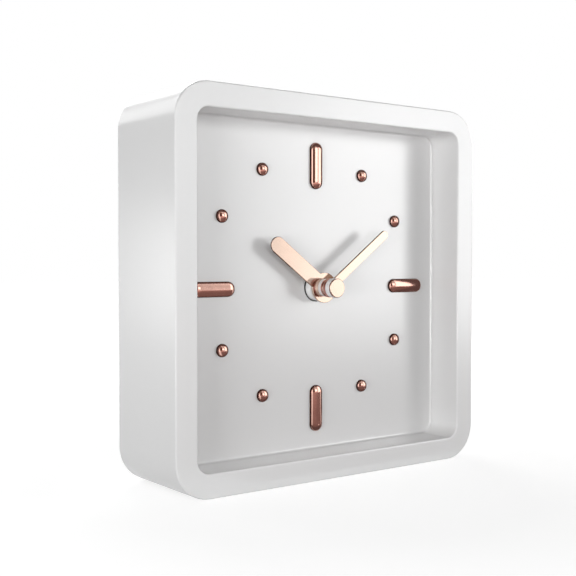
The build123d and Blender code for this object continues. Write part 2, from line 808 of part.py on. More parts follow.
# Iron core that bridges the stator's legs through the coil
def make_coil_core():
    reach = leg_offset + stator_leg_width / 2
    return Pos(coil_x, coil_y, core_level) * Box(2 * reach, core_width, core_thickness)


# Round bar along x at the coil
def coil_bar(radius, length):
    return Pos(coil_x, coil_y, core_level) * Rot(0, quarter_turn, 0) * Cylinder(radius, length)


# Bobbin with two square flanges, open along its middle for the core
def make_bobbin():
    bobbin = coil_bar(bobbin_hub_diameter / 2, coil_length)
    offset = (coil_length + bobbin_flange_thickness) / 2
    flange = Box(bobbin_flange_thickness, bobbin_flange_size, bobbin_flange_size)
    for side in (-1, 1):
        bobbin += Pos(coil_x + side * offset, coil_y, core_level) * flange
    slot = Box(2 * leg_offset, core_width + 2 * seat_clearance,
               core_thickness + 2 * seat_clearance)
    return bobbin - Pos(coil_x, coil_y, core_level) * slot


def make_winding():
    length = coil_length - 2 * seat_clearance
    hub = coil_bar(bobbin_hub_diameter / 2 + seat_clearance, length + overrun)
    return coil_bar(coil_diameter / 2, length) - hub


def make_circuit_board():
    return block(board_x - board_width / 2, board_x + board_width / 2, board_y - board_height / 2,
                 board_y + board_height / 2, board_back, board_front)


# Crystal can lying on the back of the board
def make_crystal():
    place = Pos(board_x, board_y + board_height / 4, board_back - crystal_diameter / 2)
    return place * Rot(0, quarter_turn, 0) * Cylinder(crystal_diameter / 2, crystal_length)


# Domed cover over the chip on the back of the board
def make_chip_cover():
    section = dome_section(chip_diameter / 2, chip_rim, chip_height, chip_shoulder_share)
    dome = revolve(section, Axis.Z)
    place = Pos(board_x, board_y - board_height / 4, board_back)
    return place * Rot(half_turn, 0, 0) * dome


# Round pad on a battery contact, reaching almost to the end of the cell
def contact_pad(side):
    reach = contact_room - contact_thickness - contact_touch_gap
    middle = chamber_half - contact_thickness - reach / 2
    place = Pos(side * middle, cell_y, cell_level)
    return place * Rot(0, quarter_turn, 0) * Cylinder(contact_pad_diameter / 2, reach)


# Strip along one end wall of the bay, through the partition and up the wall of the chamber
def contact_strip(side, top):
    inner = side * (chamber_half - contact_thickness)
    outer = side * chamber_half
    low = cell_level - contact_width / 2
    return block(min(inner, outer), max(inner, outer), cell_y - contact_pad_diameter / 2, top,
                 low, low + contact_width)


# Positive contact, with a tab on the side of the board
def make_contact_positive():
    tab_low = board_y - contact_tab / 2
    strip = contact_strip(1, tab_low + contact_tab) + contact_pad(1)
    reach = chamber_half - contact_thickness / 2
    return strip + block(board_right - contact_tab, reach, tab_low, tab_low + contact_tab, board_front,
                         board_front + contact_thickness)


# Negative contact, carried round two walls to a tab at the top of the board
def make_contact_negative():
    low = cell_level - contact_width / 2
    strip = contact_strip(-1, chamber_high) + contact_pad(-1)
    strip += block(-chamber_half, board_x, chamber_high - contact_thickness, chamber_high,
                   low, low + contact_width)
    return strip + block(board_x - contact_tab, board_x, board_high - contact_tab,
                         chamber_high - contact_thickness / 2, board_front,
                         board_front + contact_thickness)


# Steel can of the cell with its positive nub to the right
def make_cell_can():
    can_length = cell_length - nub_height
    can = Cylinder(cell_diameter / 2 - sleeve_thickness - seat_clearance, can_length)
    nub = Pos(0, 0, cell_length / 2) * Cylinder(nub_diameter / 2, nub_height)
    cell = can + nub
    return Pos(-nub_height / 2, cell_y, cell_level) * Rot(0, quarter_turn, 0) * cell


# Printed sleeve shrunk on the cell
def make_cell_sleeve():
    length = cell_length - nub_height - 2 * sleeve_margin
    bore = cell_diameter / 2 - sleeve_thickness
    sleeve = Cylinder(cell_diameter / 2, length) - Cylinder(bore, length + overrun)
    return Pos(-nub_height / 2, cell_y, cell_level) * Rot(0, quarter_turn, 0) * sleeve


# Screws seated in the back of the rear cover, behind the dial and in the movement lid
def make_screws():
    cover = screw(cover_head_diameter, cover_head_height, cover_screw_diameter, cover_screw_length,
                  cover_inset + cover_sink)
    dial = screw(dial_head_diameter, dial_head_height, dial_screw_diameter, dial_screw_length,
                 dial_back)
    lid = screw(lid_head_diameter, lid_head_height, lid_screw_diameter, lid_screw_length,
                movement_back + lid_head_height)
    return {
        "rear_cover_screws": Compound(children=copies(cover, post_places)),
        "dial_screws": Compound(children=copies(dial, boss_places)),
        "movement_lid_screws": Compound(children=copies(lid, lid_post_places)),
    }


# Every marker under its own name
def make_markers():
    markers = {}
    for hour in baton_hours:
        turn = hour_step * int(hour)
        x = baton_reach_x * math.sin(math.radians(turn))
        y = baton_reach_y * math.cos(math.radians(turn))
        markers[f"baton_{hour}"] = Pos(x, y, 0) * Rot(0, 0, -turn) * make_baton()
    for hour in dot_hours:
        turn = math.radians(hour_step * int(hour))
        x = dot_ring_shift_x + dot_reach_x * math.sin(turn)
        y = dot_ring_shift_y + dot_reach_y * math.cos(turn)
        markers[f"dot_{hour}"] = Pos(x, y, 0) * make_dot()
    return markers


# Every piece of the clock under its own name
def make_pieces():
    pieces = {
        "case_shell": make_case_shell(),
        "dial_plate": make_dial_plate(),
        "rear_cover": make_rear_cover(),
        "hour_hand": make_hour_hand(),
        "hour_collar": make_hour_collar(),
        "minute_hand": make_minute_hand(),
        "hand_cap": make_hand_cap(),
        "movement_housing": make_housing(),
        "movement_lid": make_lid(),
        "centre_bush": make_bush(),
        "gasket": make_gasket(),
        "dial_nut": make_nut(),
        "minute_arbor": make_minute_arbor(),
        "centre_wheel": make_centre_wheel(),
        "hour_wheel": make_hour_wheel(),
        "minute_wheel": make_minute_wheel(),
        "setting_shaft": make_setting_shaft(),
        "setting_knob": make_setting_knob(),
        "intermediate_wheel": make_intermediate_wheel(),
        "rotor_pinion": make_rotor_pinion(),
        "rotor_magnet": make_rotor_magnet(),
        "stator": make_stator(),
        "coil_core": make_coil_core(),
        "coil_bobbin": make_bobbin(),
        "coil_winding": make_winding(),
        "circuit_board": make_circuit_board(),
        "quartz_crystal": make_crystal(),
        "chip_cover": make_chip_cover(),
        "contact_positive": make_contact_positive(),
        "contact_negative": make_contact_negative(),
        "cell_can": make_cell_can(),
        "cell_sleeve": make_cell_sleeve(),
    }
    pieces.update(make_markers())
    pieces.update(make_screws())
    return pieces


# Stand the clock on its base, with its face to the front and its middle over the origin
middle_of_back = (0, case_depth / 2, case_height / 2)
standing = Plane(origin=middle_of_back, x_dir=(1, 0, 0), z_dir=(0, -1, 0)).location
os.makedirs("parts", exist_ok=True)
for name, piece in make_pieces().items():
    export_step(standing * piece, f"parts/{name}.step")
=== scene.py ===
import bmesh
import bpy
import json
import math
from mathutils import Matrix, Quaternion, Vector


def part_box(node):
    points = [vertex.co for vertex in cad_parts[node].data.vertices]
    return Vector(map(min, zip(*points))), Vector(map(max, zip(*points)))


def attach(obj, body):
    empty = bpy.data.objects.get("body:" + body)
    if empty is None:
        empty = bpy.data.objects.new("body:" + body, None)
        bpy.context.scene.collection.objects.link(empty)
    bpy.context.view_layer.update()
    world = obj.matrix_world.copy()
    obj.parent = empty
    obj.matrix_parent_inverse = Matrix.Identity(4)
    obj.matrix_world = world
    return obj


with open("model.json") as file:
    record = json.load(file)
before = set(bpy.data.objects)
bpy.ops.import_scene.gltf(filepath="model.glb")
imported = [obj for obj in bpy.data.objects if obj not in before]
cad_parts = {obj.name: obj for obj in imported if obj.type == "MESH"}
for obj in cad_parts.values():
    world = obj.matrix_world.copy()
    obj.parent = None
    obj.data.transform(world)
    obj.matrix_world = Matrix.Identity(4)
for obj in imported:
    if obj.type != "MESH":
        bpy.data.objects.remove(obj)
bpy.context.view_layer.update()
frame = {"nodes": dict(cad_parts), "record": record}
bpy.ops.object.select_all(action="DESELECT")
scene = bpy.context.scene
scene.view_settings.view_transform = "Standard"
print("frame loaded with", len(frame["nodes"]), "nodes")


def mm(*values):
    scaled = [value * 0.001 for value in values]
    return scaled[0] if len(scaled) == 1 else Vector(scaled)


def boxOf(node):
    low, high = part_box(node)
    return Vector(low), Vector(high)


# camera at the photograph's angle
cameraSet = {
    "place": mm(-231.8, -298.9, 80.4),
    "yaw": 36.677,  # degrees from straight on, towards the right
    "pitch": -1.63,
    "lens": 61.51,
    "sensor": 36.0,
    "near": 0.01,
    "far": 50,
}
cameraData = bpy.data.cameras.new("clockCamera")
cameraData.lens = cameraSet["lens"]
cameraData.sensor_width = cameraSet["sensor"]
cameraData.clip_start = cameraSet["near"]
cameraData.clip_end = cameraSet["far"]
camera = bpy.data.objects.new("clockCamera", cameraData)
camera.location = cameraSet["place"]
camera.rotation_euler = (math.radians(90 + cameraSet["pitch"]), 0, math.radians(-cameraSet["yaw"]))
scene.collection.objects.link(camera)
scene.camera = camera
print("camera set")


# soft studio lights round the clock, all turned to its middle
studioAim = mm(0, 0, 70)
lightSet = {
    "softboxRight": {"place": mm(402, -439, 148), "size": mm(200, 280, 0), "watts": 0.68},
    "sideRight": {"place": mm(539, -251, 148), "size": mm(200, 280, 0), "watts": 0.2},
    "overCamera": {"place": mm(-291, -504, 215), "size": mm(240, 240, 0), "watts": 0.56},
    "lowMiddle": {"place": mm(-120, -587, 39), "size": mm(240, 70, 0), "watts": 0.58},
    "lowLeft": {"place": mm(-531, -277, 39), "size": mm(266, 70, 0), "watts": 1.2},
    "stripBackLeft": {"place": mm(-424, 424, 70), "size": mm(212, 105, 0), "watts": 0.3},
    "highBackLeft": {"place": mm(-215, 461, 388), "size": mm(212, 266, 0), "watts": 0.39},
    "rearRight": {"place": mm(186, 511, 324), "size": mm(400, 300, 0), "watts": 1.5},
    "caseRight": {"place": mm(540, 110, 200), "size": mm(160, 160, 0), "watts": 1.0},
}


def addSoftbox(name, look):
    lamp = bpy.data.lights.new(name, "AREA")
    lamp.shape = "RECTANGLE"
    lamp.size = look["size"][0]
    lamp.size_y = look["size"][1]
    lamp.energy = look["watts"]
    softbox = bpy.data.objects.new(name, lamp)
    softbox.location = look["place"]
    softbox.rotation_euler = (studioAim - look["place"]).to_track_quat("-Z", "Y").to_euler()
    softbox.visible_camera = False
    scene.collection.objects.link(softbox)


for name, look in lightSet.items():
    addSoftbox(name, look)


def addNode(nodes, kind, place, inputs=None, **settings):
    made = nodes.new(kind)
    made.location = place
    for key, value in settings.items():
        setattr(made, key, value)
    for key, value in (inputs or {}).items():
        made.inputs[key].default_value = value
    return made


# one for rays that look at a surface or the room, none for its light on other things
def seenRays(nodes, links):
    rays = addNode(nodes, "ShaderNodeLightPath", (-1000, 300))
    direct = addNode(nodes, "ShaderNodeMath", (-800, 300), operation="MAXIMUM")
    seen = addNode(nodes, "ShaderNodeMath", (-600, 300), operation="MAXIMUM")
    links.new(rays.outputs["Is Camera Ray"], direct.inputs[0])
    links.new(rays.outputs["Is Glossy Ray"], direct.inputs[1])
    links.new(direct.outputs[0], seen.inputs[0])
    links.new(rays.outputs["Is Transmission Ray"], seen.inputs[1])
    return seen.outputs[0]


# white room: seen as plain white, and giving a gentle fill
roomSet = {"fill": 0.08, "white": 1.0, "colour": (1, 1, 1, 1)}
world = bpy.data.worlds.new("whiteRoom")
scene.world = world
world.use_nodes = True
roomNodes, roomLinks = world.node_tree.nodes, world.node_tree.links
roomNodes.clear()
roomFill = addNode(roomNodes, "ShaderNodeBackground", (-400, 0),
                   {"Color": roomSet["colour"], "Strength": roomSet["fill"]})
roomWhite = addNode(roomNodes, "ShaderNodeBackground", (-400, -150),
                    {"Color": roomSet["colour"], "Strength": roomSet["white"]})
roomMix = addNode(roomNodes, "ShaderNodeMixShader", (-200, 0))
roomOut = addNode(roomNodes, "ShaderNodeOutputWorld", (0, 0))
roomLinks.new(seenRays(roomNodes, roomLinks), roomMix.inputs[0])
roomLinks.new(roomFill.outputs[0], roomMix.inputs[1])
roomLinks.new(roomWhite.outputs[0], roomMix.inputs[2])
roomLinks.new(roomMix.outputs[0], roomOut.inputs["Surface"])

# plain pale floor, brighter away from the clock so that it runs into the white room
floorSet = {"size": 6.0, "colour": (0.5, 0.5, 0.5, 1), "nearLift": 0.75, "farLift": 1.0,
            "nearReach": 0.1, "farReach": 0.3}
bpy.ops.mesh.primitive_plane_add(size=floorSet["size"], location=(0, 0, 0))
floor = bpy.context.object
floor.name = "paleFloor"
floorFinish = bpy.data.materials.new("paleFloor")
floorFinish.use_nodes = True
floorNodes, floorLinks = floorFinish.node_tree.nodes, floorFinish.node_tree.links
floorNodes.clear()
floorPlace = addNode(floorNodes, "ShaderNodeTexCoord", (-1000, 0))
floorReach = addNode(floorNodes, "ShaderNodeVectorMath", (-800, 0), operation="LENGTH")
floorFade = addNode(floorNodes, "ShaderNodeMapRange", (-600, 0),
                    {"From Min": floorSet["nearReach"], "From Max": floorSet["farReach"],
                     "To Min": floorSet["nearLift"], "To Max": floorSet["farLift"]})
floorLift = addNode(floorNodes, "ShaderNodeMath", (-200, 200), operation="MULTIPLY")
floorGlow = addNode(floorNodes, "ShaderNodeEmission", (0, 200))
floorPaint = addNode(floorNodes, "ShaderNodeBsdfDiffuse", (0, 0), {"Color": floorSet["colour"]})
floorSum = addNode(floorNodes, "ShaderNodeAddShader", (200, 100))
floorOut = addNode(floorNodes, "ShaderNodeOutputMaterial", (400, 100))
floorLinks.new(floorPlace.outputs["Object"], floorReach.inputs[0])
floorLinks.new(floorReach.outputs["Value"], floorFade.inputs["Value"])
floorLinks.new(seenRays(floorNodes, floorLinks), floorLift.inputs[0])
floorLinks.new(floorFade.outputs["Result"], floorLift.inputs[1])
floorLinks.new(floorLift.outputs[0], floorGlow.inputs["Strength"])
floorLinks.new(floorPaint.outputs[0], floorSum.inputs[0])
floorLinks.new(floorGlow.outputs[0], floorSum.inputs[1])
floorLinks.new(floorSum.outputs[0], floorOut.inputs["Surface"])
floor.data.materials.append(floorFinish)
print("room and floor set")

# cards round the clock that only reflections see, as a photographer sets for polished metal
cardSet = {
    "frontCard": {"place": mm(-243, -603, 400), "aim": mm(0, 0, 400), "size": mm(400, 796, 0),
                  "tone": (0.12, 0.05, 0.03, 1)},
    "topCard": {"place": mm(0, -97, 480), "aim": mm(0, -97, 0), "size": mm(1400, 334, 0),
                "tone": (0.05, 0.02, 0.015, 1)},
    "lowCard": {"place": mm(79, -464, 3), "aim": mm(79, -464, 900), "size": mm(640, 760, 0),
                "spin": math.radians(-30), "tone": (1, 0.7, 0.68, 1), "axis": "Y", "nearGlow": 1.0,
                "farGlow": 0.24, "nearShare": -0.1, "farShare": 0.4},
    "sideCard": {"place": mm(690, 60, 150), "aim": mm(0, 0, 70), "size": mm(480, 300, 0),
                 "tone": (0.2, 0.2, 0.2, 1)},
    "rightGlow": {"place": mm(503, -622, 450), "aim": mm(0, 0, 450), "size": mm(960, 900, 0),
                  "tone": (1, 1, 1, 1), "lean": math.radians(14), "nearGlow": 0.65, "farGlow": 2.45,
                  "nearShare": -0.108, "farShare": 0.192},
    "middleGlow": {"place": mm(137, -768, 285), "aim": mm(0, 0, 285), "size": mm(390, 300, 0),
                   "tone": (2.6, 2.6, 2.6, 1)},
    "leftGlow": {"place": mm(-624, -318, 200), "aim": mm(0, 0, 200), "size": mm(510, 400, 0),
                 "tone": (1.9, 1.9, 1.9, 1)},
}

# white screens level with the bezel, seen only from behind, that keep these cards off the sides and top
screenSet = {"tone": (0.97, 0.97, 0.97, 1), "width": mm(700), "height": mm(800), "off": mm(1)}
caseLow, caseHigh = boxOf("case_shell")
screenFace = caseLow.y - screenSet["off"]
screenFoot = caseHigh.z + screenSet["off"]
screenMiddle = caseHigh.x + screenSet["off"] + screenSet["width"] / 2
for name, middle, width, low, high in [
        ("screenLeft", -screenMiddle, screenSet["width"], 0, screenFoot),
        ("screenRight", screenMiddle, screenSet["width"], 0, screenFoot),
        ("screenTop", 0, 2 * screenSet["width"], screenFoot, screenSet["height"])]:
    level = (low + high) / 2
    cardSet[name] = {"place": Vector((middle, screenFace, level)), "aim": Vector((middle, 1, level)),
                     "size": Vector((width, high - low, 0)), "tone": screenSet["tone"]}

# painted reflection: dark cards against the dial and the walls of the recess, seen only in reflections,
# which make the white dial and walls reflect dark and give the markers their dark outlines
linerSet = {"tone": (0.13, 0.1, 0.1, 1), "off": mm(0.2), "dialMargin": mm(7), "hubReach": mm(14),
            "reach": mm(61.4)}  # half the width of the recess
dialFace = boxOf("dot_1")[1].y
bezelFace = caseLow.y
linerReach = linerSet["reach"] - linerSet["off"]
linerMiddle = Vector((studioAim.x, (dialFace + bezelFace) / 2, studioAim.z))
linerDepth = dialFace - bezelFace - linerSet["off"]
dialReach = 2 * (linerReach - linerSet["dialMargin"])
for name, side in {"linerLeft": (-1, 0, 0), "linerRight": (1, 0, 0), "linerTop": (0, 0, 1),
                   "linerFoot": (0, 0, -1)}.items():
    deep = Vector((2 * linerReach, linerDepth, 0)) if side[2] else Vector((linerDepth, 2 * linerReach, 0))
    cardSet[name] = {"place": linerMiddle + Vector(side) * linerReach, "aim": linerMiddle, "size": deep,
                     "tone": linerSet["tone"]}
cardSet["linerDial"] = {"place": Vector((studioAim.x, dialFace - linerSet["off"] / 2, studioAim.z)),
                        "aim": Vector((studioAim.x, bezelFace, studioAim.z)), "tone": linerSet["tone"],
                        "size": Vector((dialReach, dialReach, 0)), "clear": linerSet["hubReach"]}


# even tone, or a glow that rises across the card, on the side that the card is aimed at
def cardFinish(name, look):
    finish = bpy.data.materials.new(name)
    finish.use_nodes = True
    nodes, links = finish.node_tree.nodes, finish.node_tree.links
    nodes.clear()
    place = addNode(nodes, "ShaderNodeTexCoord", (-1000, 0))
    glow = addNode(nodes, "ShaderNodeEmission", (-200, 0), {"Color": look["tone"]})
    clear = addNode(nodes, "ShaderNodeBsdfTransparent", (-200, 150))
    faces = addNode(nodes, "ShaderNodeNewGeometry", (-600, 400))
    shown = addNode(nodes, "ShaderNodeMath", (-200, 300), operation="MULTIPLY")
    beyond = addNode(nodes, "ShaderNodeMath", (-400, 200), operation="GREATER_THAN")
    reach = addNode(nodes, "ShaderNodeVectorMath", (-600, 200), operation="LENGTH")
    beyond.inputs[1].default_value = look.get("clear", 0.0)
    mix = addNode(nodes, "ShaderNodeMixShader", (0, 0))
    out = addNode(nodes, "ShaderNodeOutputMaterial", (200, 0))
    links.new(place.outputs["Object"], reach.inputs[0])
    links.new(reach.outputs["Value"], beyond.inputs[0])
    links.new(faces.outputs["Backfacing"], shown.inputs[0])
    links.new(beyond.outputs[0], shown.inputs[1])
    links.new(shown.outputs[0], mix.inputs[0])
    links.new(clear.outputs[0], mix.inputs[1])
    links.new(glow.outputs[0], mix.inputs[2])
    links.new(mix.outputs[0], out.inputs["Surface"])
    if "nearGlow" in look:
        axis = look.get("axis", "X")
        width = look["size"]["XY".index(axis)]
        lean = addNode(nodes, "ShaderNodeMapping", (-800, 0), {"Rotation": (0, 0, look.get("lean", 0.0))})
        across = addNode(nodes, "ShaderNodeSeparateXYZ", (-600, 0))
        rise = addNode(nodes, "ShaderNodeMapRange", (-400, 0),
                       {"From Min": look["nearShare"] * width, "From Max": look["farShare"] * width,
                        "To Min": look["nearGlow"], "To Max": look["farGlow"]},
                       interpolation_type="SMOOTHSTEP")
        links.new(place.outputs["Object"], lean.inputs["Vector"])
        links.new(lean.outputs["Vector"], across.inputs[0])
        links.new(across.outputs[axis], rise.inputs["Value"])
        links.new(rise.outputs["Result"], glow.inputs["Strength"])
    return finish


def addCard(name, look):
    bpy.ops.object.select_all(action="DESELECT")
    bpy.ops.mesh.primitive_plane_add(size=1)
    card = bpy.context.object
    card.name = name
    card.scale = (look["size"][0], look["size"][1], 1)
    bpy.ops.object.transform_apply(location=False, rotation=False, scale=True)
    card.location = look["place"]
    facing = (look["aim"] - look["place"]).to_track_quat("-Z", "Y")
    card.rotation_euler = (Quaternion((0, 0, 1), look.get("spin", 0.0)) @ facing).to_euler()
    card.data.materials.append(cardFinish(name, look))
    card.visible_camera = False
    card.visible_diffuse = False
    card.visible_shadow = False
    card.visible_transmission = False
    card.visible_volume_scatter = False


for name, look in cardSet.items():
    addCard(name, look)
print("cards set")


def shade(colour, share):
    return tuple(min(1.0, channel * share) for channel in colour) + (1.0,)


# a material with the even values of a look on its shader, and the place on the object to read
def startFinish(name, look):
    finish = bpy.data.materials.new(name)
    finish.use_nodes = True
    nodes, links = finish.node_tree.nodes, finish.node_tree.links
    shader = nodes["Principled BSDF"]
    shader.inputs["Metallic"].default_value = look.get("metal", 0.0)
    shader.inputs["Specular IOR Level"].default_value = look.get("specular", 0.5)
    where = addNode(nodes, "ShaderNodeTexCoord", (-1400, 0))
    return finish, nodes, links, shader, where.outputs["Object"]


patternLow, patternHigh = 0.1, 0.9  # the part of a pattern that tones and gloss are spread over
noiseSet = {"mottleDetail": 4.0, "mottleRoughness": 0.55, "skinDetail": 3.0, "skinRoughness": 0.6}


# two tones of one colour from a pattern
def linkTone(nodes, links, shader, look, pattern):
    tone = addNode(nodes, "ShaderNodeValToRGB", (-550, 250))
    tone.color_ramp.elements[0].position = patternLow
    tone.color_ramp.elements[1].position = patternHigh
    tone.color_ramp.elements[0].color = shade(look["colour"], 1 - 2 * look["mottle"])
    tone.color_ramp.elements[1].color = shade(look["colour"], 1 + 2 * look["mottle"])
    links.new(pattern, tone.inputs["Fac"])
    links.new(tone.outputs["Color"], shader.inputs["Base Color"])
    return tone.outputs["Color"]


def linkGloss(nodes, links, shader, look, pattern):
    gloss = addNode(nodes, "ShaderNodeMapRange", (-550, 0),
                    {"From Min": patternLow, "From Max": patternHigh,
                     "To Min": look["roughness"] - 2 * look["roughSpread"],
                     "To Max": look["roughness"] + 2 * look["roughSpread"]})
    links.new(pattern, gloss.inputs["Value"])
    links.new(gloss.outputs["Result"], shader.inputs["Roughness"])


def linkRelief(nodes, links, shader, height, strength, depth):
    relief = addNode(nodes, "ShaderNodeBump", (-300, -300), {"Strength": strength, "Distance": depth})
    links.new(height, relief.inputs["Height"])
    links.new(relief.outputs["Normal"], shader.inputs["Normal"])


# moulded or plated surface: slightly mottled colour, uneven gloss and a fine skin, and painted shade at
# the foot where the look gives one
def mouldedFinish(name, look):
    finish, nodes, links, shader, where = startFinish(name, look)
    turn = addNode(nodes, "ShaderNodeMapping", (-1000, 0), {"Scale": look.get("stretch", (1, 1, 1))})
    mottle = addNode(nodes, "ShaderNodeTexNoise", (-800, 200),
                     {"Scale": look["mottleScale"], "Detail": noiseSet["mottleDetail"],
                      "Roughness": noiseSet["mottleRoughness"]})
    skin = addNode(nodes, "ShaderNodeTexNoise", (-800, -300),
                   {"Scale": look["skinScale"], "Detail": noiseSet["skinDetail"],
                    "Roughness": noiseSet["skinRoughness"]})
    links.new(where, turn.inputs["Vector"])
    links.new(turn.outputs["Vector"], mottle.inputs["Vector"])
    links.new(turn.outputs["Vector"], skin.inputs["Vector"])
    toned = linkTone(nodes, links, shader, look, mottle.outputs["Fac"])
    linkGloss(nodes, links, shader, look, mottle.outputs["Fac"])
    linkRelief(nodes, links, shader, skin.outputs["Fac"], look["skinStrength"], look["skinDepth"])
    if "foot" in look:
        linkFootShade(nodes, links, shader, look, where, toned)
    return finish


# painted shade: the plating is darkened low on the side of a marker, where it meets the dial, in place of
# the contact shadow and dark reflection there
def linkFootShade(nodes, links, shader, look, where, toned):
    place = addNode(nodes, "ShaderNodeSeparateXYZ", (-1000, 500))
    low = addNode(nodes, "ShaderNodeMapRange", (-800, 500),
                  {"From Min": dialFace - look["footShadeTop"], "From Max": dialFace - look["footShadeFull"],
                   "To Min": 0.0, "To Max": 1.0})
    mix = addNode(nodes, "ShaderNodeMix", (-300, 300), data_type="RGBA")
    mix.inputs[7].default_value = shade(look["foot"], 1)  # inputs 6 and 7 are the two colours
    links.new(where, place.inputs[0])
    links.new(place.outputs["Y"], low.inputs["Value"])
    links.new(low.outputs["Result"], mix.inputs[0])
    links.new(toned, mix.inputs[6])
    links.new(mix.outputs[2], shader.inputs["Base Color"])


finishSet = {
    "white_case": {"colour": (0.85, 0.85, 0.85), "specular": 0.8, "mottle": 0.004, "mottleScale": 40,
                   "roughness": 0.26, "roughSpread": 0.004, "skinScale": 350, "skinStrength": 0.02,
                   "skinDepth": 0.00002},
    "white_dial": {"colour": (0.76, 0.76, 0.76), "specular": 0.9, "mottle": 0.004, "mottleScale": 40,
                   "roughness": 0.262, "roughSpread": 0.004, "skinScale": 350, "skinStrength": 0.02,
                   "skinDepth": 0.00002},
    "white_cover": {"colour": (0.82, 0.82, 0.82), "mottle": 0.015, "mottleScale": 80, "roughness": 0.6,
                    "roughSpread": 0.06, "skinScale": 1800, "skinStrength": 0.2, "skinDepth": 0.0001},
    # the marker's foot colour is painted shade, which darkens the plating where a marker meets the dial
    "rose_gold_marker": {"colour": (0.75, 0.45, 0.37), "metal": 1.0, "mottle": 0.03, "mottleScale": 300,
                         "roughness": 0.15, "roughSpread": 0.03, "skinScale": 900, "skinStrength": 0.02,
                         "skinDepth": 0.00005, "foot": (0.16, 0.06, 0.045), "footShadeTop": mm(0.95),
                         "footShadeFull": mm(0.45)},
    "rose_gold_hand": {"colour": (0.66, 0.50, 0.41), "metal": 1.0, "mottle": 0.03, "mottleScale": 300,
                       "roughness": 0.14, "roughSpread": 0.03, "skinScale": 900, "skinStrength": 0.02,
                       "skinDepth": 0.00005},
    # painted reflection: the chrome is near-white and hardly metallic, so that the dial nut and the hub
    # bands show white as if reflecting bright light
    "polished_chrome": {"colour": (0.97, 0.97, 0.97), "metal": 0.1, "mottle": 0.01, "mottleScale": 300,
                        "roughness": 0.34, "roughSpread": 0.02, "skinScale": 900, "skinStrength": 0.01,
                        "skinDepth": 0.00005},
    "bush_brass": {"colour": (0.78, 0.58, 0.26), "metal": 1.0, "mottle": 0.05, "mottleScale": 400,
                   "roughness": 0.34, "roughSpread": 0.03, "skinScale": 1500, "skinStrength": 0.1,
                   "skinDepth": 0.00005},
    "black_housing": {"colour": (0.022, 0.022, 0.024), "mottle": 0.12, "mottleScale": 200,
                      "roughness": 0.55, "roughSpread": 0.06, "skinScale": 2200, "skinStrength": 0.25,
                      "skinDepth": 0.0001},
    "black_knob": {"colour": (0.026, 0.026, 0.028), "mottle": 0.12, "mottleScale": 300, "roughness": 0.4,
                   "roughSpread": 0.05, "skinScale": 2600, "skinStrength": 0.1, "skinDepth": 0.00008},
    "wheel_plastic": {"colour": (0.78, 0.75, 0.66), "mottle": 0.03, "mottleScale": 300, "roughness": 0.4,
                      "roughSpread": 0.05, "skinScale": 2600, "skinStrength": 0.05, "skinDepth": 0.00005},
    "magnet": {"colour": (0.10, 0.10, 0.105), "metal": 0.6, "mottle": 0.2, "mottleScale": 700,
               "roughness": 0.5, "roughSpread": 0.1, "skinScale": 3000, "skinStrength": 0.2,
               "skinDepth": 0.00008},
    "motor_iron": {"colour": (0.48, 0.48, 0.49), "metal": 1.0, "mottle": 0.08, "mottleScale": 200,
                   "stretch": (1, 1, 12), "roughness": 0.38, "roughSpread": 0.05, "skinScale": 900,
                   "skinStrength": 0.1, "skinDepth": 0.00005},
    "bobbin_plastic": {"colour": (0.05, 0.14, 0.34), "mottle": 0.06, "mottleScale": 300, "roughness": 0.4,
                       "roughSpread": 0.05, "skinScale": 2600, "skinStrength": 0.06, "skinDepth": 0.00005},
    "can_steel": {"colour": (0.66, 0.66, 0.67), "metal": 1.0, "mottle": 0.05, "mottleScale": 120,
                  "stretch": (1, 14, 14), "roughness": 0.22, "roughSpread": 0.02, "skinScale": 500,
                  "skinStrength": 0.05, "skinDepth": 0.00005},
    "chip_resin": {"colour": (0.012, 0.012, 0.012), "mottle": 0.2, "mottleScale": 500, "roughness": 0.2,
                   "roughSpread": 0.03, "skinScale": 900, "skinStrength": 0.15, "skinDepth": 0.0001},
    "contact_metal": {"colour": (0.70, 0.69, 0.65), "metal": 1.0, "mottle": 0.05, "mottleScale": 150,
                      "stretch": (10, 10, 1), "roughness": 0.22, "roughSpread": 0.02, "skinScale": 600,
                      "skinStrength": 0.06, "skinDepth": 0.00005},
    "gasket_rubber": {"colour": (0.02, 0.02, 0.02), "mottle": 0.15, "mottleScale": 300, "roughness": 0.75,
                      "roughSpread": 0.08, "skinScale": 2200, "skinStrength": 0.3, "skinDepth": 0.0001},
    "screw_steel": {"colour": (0.58, 0.58, 0.60), "metal": 1.0, "mottle": 0.06, "mottleScale": 400,
                    "roughness": 0.34, "roughSpread": 0.03, "skinScale": 1500, "skinStrength": 0.08,
                    "skinDepth": 0.00005},
}
finishes = {slot: mouldedFinish(slot, look) for slot, look in finishSet.items()}


# turned metal of the hub: sides with fine rings and a smooth face; painted reflection: the sides are a
# deeper rose gold and a dark band runs round the cap just behind its face, in place of reflections of the
# shaded dial and hand
hubSet = {"metal": 1.0, "side": (0.68, 0.33, 0.29), "edge": (0.16, 0.07, 0.05), "face": (0.66, 0.50, 0.41),
          "darkBandShares": (0.90, 0.93, 0.955, 0.97), "sideRoughness": 0.3, "faceRoughness": 0.16,
          "ringScale": 9000, "ringStrength": 0.15, "ringDepth": 0.00002}


